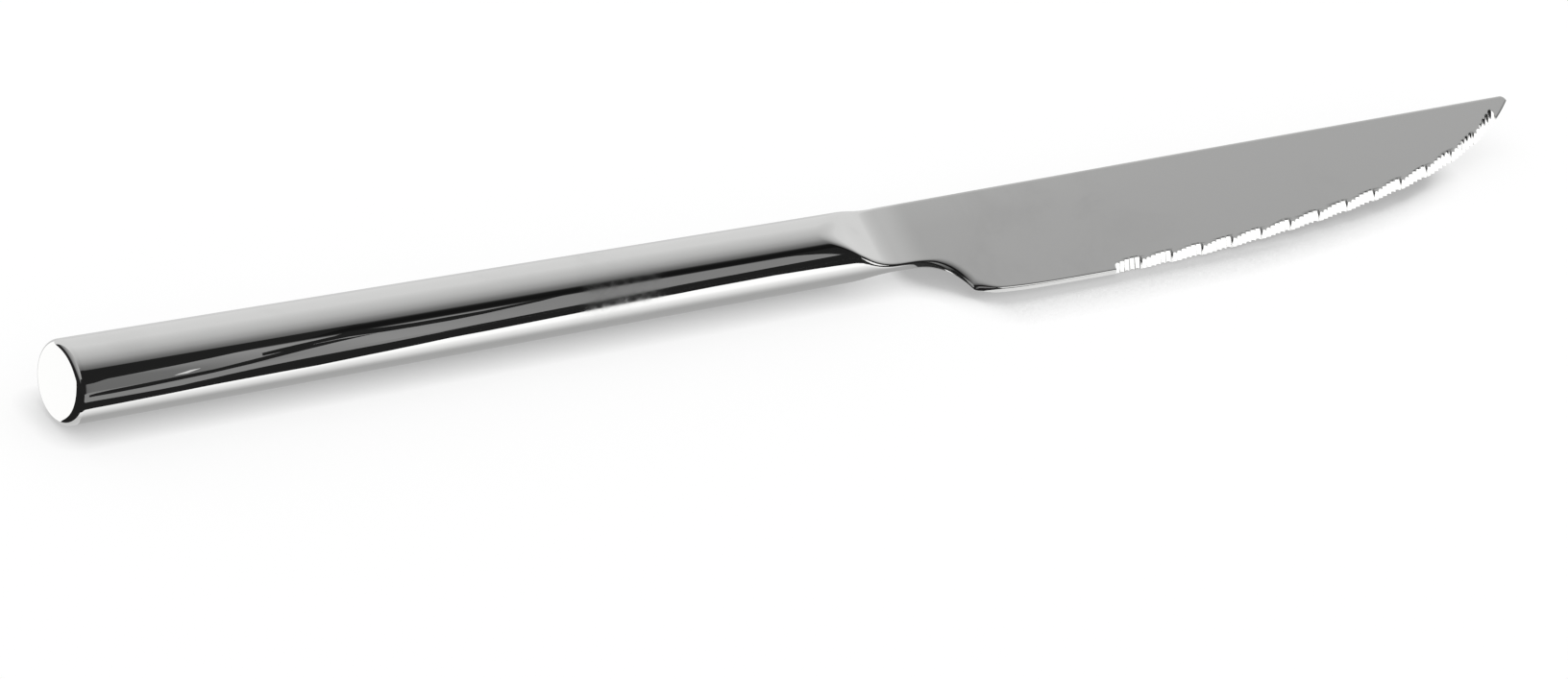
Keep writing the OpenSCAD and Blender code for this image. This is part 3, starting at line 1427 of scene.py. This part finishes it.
    def table_shade(self, tree: bpy.types.NodeTree) -> bpy.types.Node:
        """Adds the table's brightness by the distance before the handle: a painted shadow, darker
        close before it.

        Args:
            tree: The node tree.

        Returns:
            The ramp, by a distance that is stretched towards the butt.
        """
        _, parts = own_place(tree)
        stretch = add_node(
            tree,
            "ShaderNodeMapRange",
            {"From Min": -90 * MM, "From Max": -20 * MM, "To Min": 1.4, "To Max": 1.0},
            {"Value": parts["X"]},
        )
        side = add_node(tree, "ShaderNodeMath", {1: 2.5 * MM}, {0: parts["Y"]}, operation="ADD")
        side = add_node(
            tree, "ShaderNodeMath", links={0: side, 1: stretch}, operation="MULTIPLY"
        )
        stops = [
            (-9.0, 1.30), (-7.0, 1.26), (-5.6, 1.10), (-4.5, 1.00), (-3.6, 0.91),
            (-2.8, 0.82), (-2.2, 0.72), (-1.6, 0.62), (-1.1, 0.54), (-0.4, 0.46),
            (7.5, 0.41), (13.0, 0.50), (25.0, 0.66), (65.0, 0.74),
        ]
        return ramp(tree, side, stops)

    def card(
        self, name: str, corners: Sequence[tuple], material: bpy.types.Material
    ) -> None:
        """Adds a flat card, from its corners in order."""
        bm = bmesh.new()
        bm.faces.new([bm.verts.new(Vector(c) * MM) for c in corners])
        made = make_object(name, bm)
        made.data.materials.append(material)
        self.only_mirrored(made)

    def level(
        self, name: str, z: float, corners: Sequence[tuple], material: bpy.types.Material
    ) -> None:
        """Adds a card that lies flat at a height, from its corners' X and Y."""
        self.card(name, [(x, y, z) for x, y in corners], material)

    def upright(
        self, name: str, y: float, corners: Sequence[tuple], material: bpy.types.Material
    ) -> None:
        """Adds a card that stands across Y, from its corners' X and Z."""
        self.card(name, [(x, y, z) for x, z in corners], material)

    def table(self) -> None:
        """Adds the table top as the steel sees it: white, with painted shade close to the handle.
        """
        butt, far = self.butt_x, self.far
        marks = [
            (0, -51), (5, -50.5), (10, -48.5), (15, -46.5), (20, -44), (30, -42),
            (35, -42), (40, -39), (45, -36), (50, -33), (55, -29), (60, -28), (65, -26),
            (70, -24), (75, -22), (85, -18.5), (90, -17.5), (95, -15.5), (105, -14),
            (110, -16), (114, -18), (118, -22),
        ]
        white = [(butt, -6.0)] + self.on_level(0.05, marks)
        white += [(14, -9), (24, -9), (60, -14), (far, -40), (far, far), (butt, far)]
        self.level("table_mirrored", 0.05, white, self.glow("table_white", 1.0, self.table_shade))
        heel = [(13.2, -2.6), (19.2, -6.4), (19.2, -16.0), (12.4, -16.0)]
        self.level("heel_shade", 0.07, heel, self.glow("heel_shade_black", 0.04))
        behind = [(-far, 0.8), (butt, 0.8), (butt, far), (-far, far)]
        self.level("table_behind_butt", 0.1, behind, self.glow("table_butt_white", 1.26))
        # A painted shade: the floor under the butt, which the rim mirrors, is grey where the
        # knife's shadow falls.
        under = [(butt, -4.0), (-113.5, -4.0), (-113.5, 9.0), (butt, 9.0)]
        self.level("table_shade_under_butt", 0.06, under, self.glow("table_butt_painted_shade", 0.68))

    def flags(self) -> None:
        """Adds what stands in front: grey cloth, black flags and rods, and a white card."""
        far = self.far
        ground = [(-far, -200), (far, -200), (far, 200), (-far, 200)]
        self.level("front_ground", 0.02, ground, self.glow("ground_grey", 0.28))
        stops = [(-70, 0.02), (-10, 0.17), (20, 0.19), (30, 0.25), (52, 0.32), (85, 0.27)]
        grey = self.by_place("X", stops + [(130, 0.26)])
        cloth = [(-far, 0), (far, 0), (far, 158), (-far, 158)]
        self.upright("front_cloth", -200.0, cloth, self.glow("cloth_grey", 1.0, grey))

        marks = [
            (0, -27), (5, -28), (12, -28), (15, -27), (20, -22), (25, -17), (30, -14),
            (35, -12), (40, -11), (45, -10), (50, -8),
        ]
        shade = [(-far, -200), (-114.5, -200), (-114.5, -18)] + self.on_level(0.04, marks)
        shade += [(-27, -60.0), (300, -60.0), (300, 0.0), (-far, 3.0)]
        self.level("front_shade", 0.04, shade, self.glow("shade_black", self.black))

        black = self.glow("flag_black", self.black)
        marks = [
            (55, -5), (60, -2), (65, 0), (70, 2), (75, 3.5), (80, 5), (85, 7), (90, 9),
            (95, 11), (100, 12), (105, 13.5), (110, 14.5), (116.5, 16), (114, 28),
            (110, 37), (106, 41),
        ]
        wall = [(-27, 0.1)] + self.on_upright(-60.0, marks) + [(39, 60), (500, 60), (500, 0.1)]
        self.upright("front_flag", -60.0, wall, black)
        marks = [(3, 22), (5, 27), (10, 29), (15, 31), (20, 34), (25, 38), (30, 40), (35, 42)]
        wedge = [(-130, 17)] + self.on_upright(-30.0, marks) + [(-40, 55), (-130, 55)]
        self.upright("side_flag", -30.0, wedge, black)

        marks = [
            (1, -14), (5, -14.5), (10, -13), (15, -10), (20, -6.5), (25, -1), (30, 7),
            (34, 13), (38, 18), (44, 24), (38, 25), (34, 23), (30, 18), (25, 10),
            (20, 3), (15, 0.5), (10, -2), (5, -4), (1, -8),
        ]
        self.upright("low_rod", -17.6, self.on_upright(-17.6, marks), black)
        marks = [
            (27, 16), (30, 18), (35, 24), (38, 26), (40, 27), (45, 24), (50, 23),
            (55, 23), (60, 25.5), (65, 30), (69, 34), (73, 40), (69, 40), (65, 37),
            (60, 34.5), (55, 34.5), (50, 34.5), (45, 37), (40, 42), (38, 36),
            (35, 33), (30, 28), (27, 24),
        ]
        self.upright("high_rod", -17.6, self.on_upright(-17.6, marks), black)

        glint = self.on_upright(-17.0, [(14, 5), (16, 5), (18, 12), (16.5, 12)])
        self.upright("small_glint", -17.0, glint, self.glow("glint_pale", 0.8))
        edge = [(28, 0.3), (160, 0.3), (160, 19), (28, 12)]
        self.upright("edge_card", -20.0, edge, self.glow("card_white", 1.3))


def main() -> None:
    """Builds the knife and the studio round it."""
    logging.basicConfig(level=logging.INFO, format="%(name)s: %(message)s")
    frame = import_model()
    sizes = KnifeSizes()

    # A clean mirror: the handle shows hard-edged black and white bands, and a finger's haze.
    handle_finish = PolishedSteel(print_from=-43 * MM, print_to=-27 * MM).material()
    # Mirror at the neck, fine satin on the flat, which spreads one even grey over the blade. The
    # flat is also painted a shade darker: painted shade for the darker grey it mirrors.
    blade_steel_and_painted_shade = PolishedSteel(
        name="stainless_steel_blade_polished_painted_shade",
        satin_painted_tone="#CFCFCE",
        satin_roughness=0.09,
        satin_from=9 * MM,
        satin_to=14 * MM,
    ).material()
    # Lighter than the other steel, a painted highlight, and a little blurred, so that each flute
    # shows as one white stroke. The wheel's own marks are far finer: they are drawn coarse, because
    # they would only flicker.
    flute_steel_painted_bright = PolishedSteel(
        name="stainless_steel_wheel_ground_painted_bright",
        colour="#F4F4F3",
        satin_painted_tone="#F4F4F3",
        roughness=0.10,
        smear_roughness=0.14,
        satin_roughness=0.10,
        line_pitch_mm=0.2,
        line_length_mm=0.5,
    ).material()

    for piece in HandleShells(sizes).build(handle_finish):
        LOG.info("%s: %d faces", piece.name, len(piece.data.polygons))
    cap = ButtCap(sizes).build(handle_finish)
    LOG.info("%s: %d faces", cap.name, len(cap.data.polygons))
    blade = ForgedBlade(sizes).build(blade_steel_and_painted_shade, flute_steel_painted_bright)
    LOG.info("%s: %d faces", blade.name, len(blade.data.polygons))

    # Matt and chalky, and hidden inside the handle.
    cement = frame["nodes"]["cement_core"]
    cement.data.materials.clear()
    cement.data.materials.append(CastCement().material())
    LOG.info("%s: dressed", cement.name)

    camera = PhotoCamera()
    camera.build()
    Studio(sizes, camera).build()
    bpy.context.scene.view_settings.view_transform = "Standard"


if __name__ == "__main__":
    main()
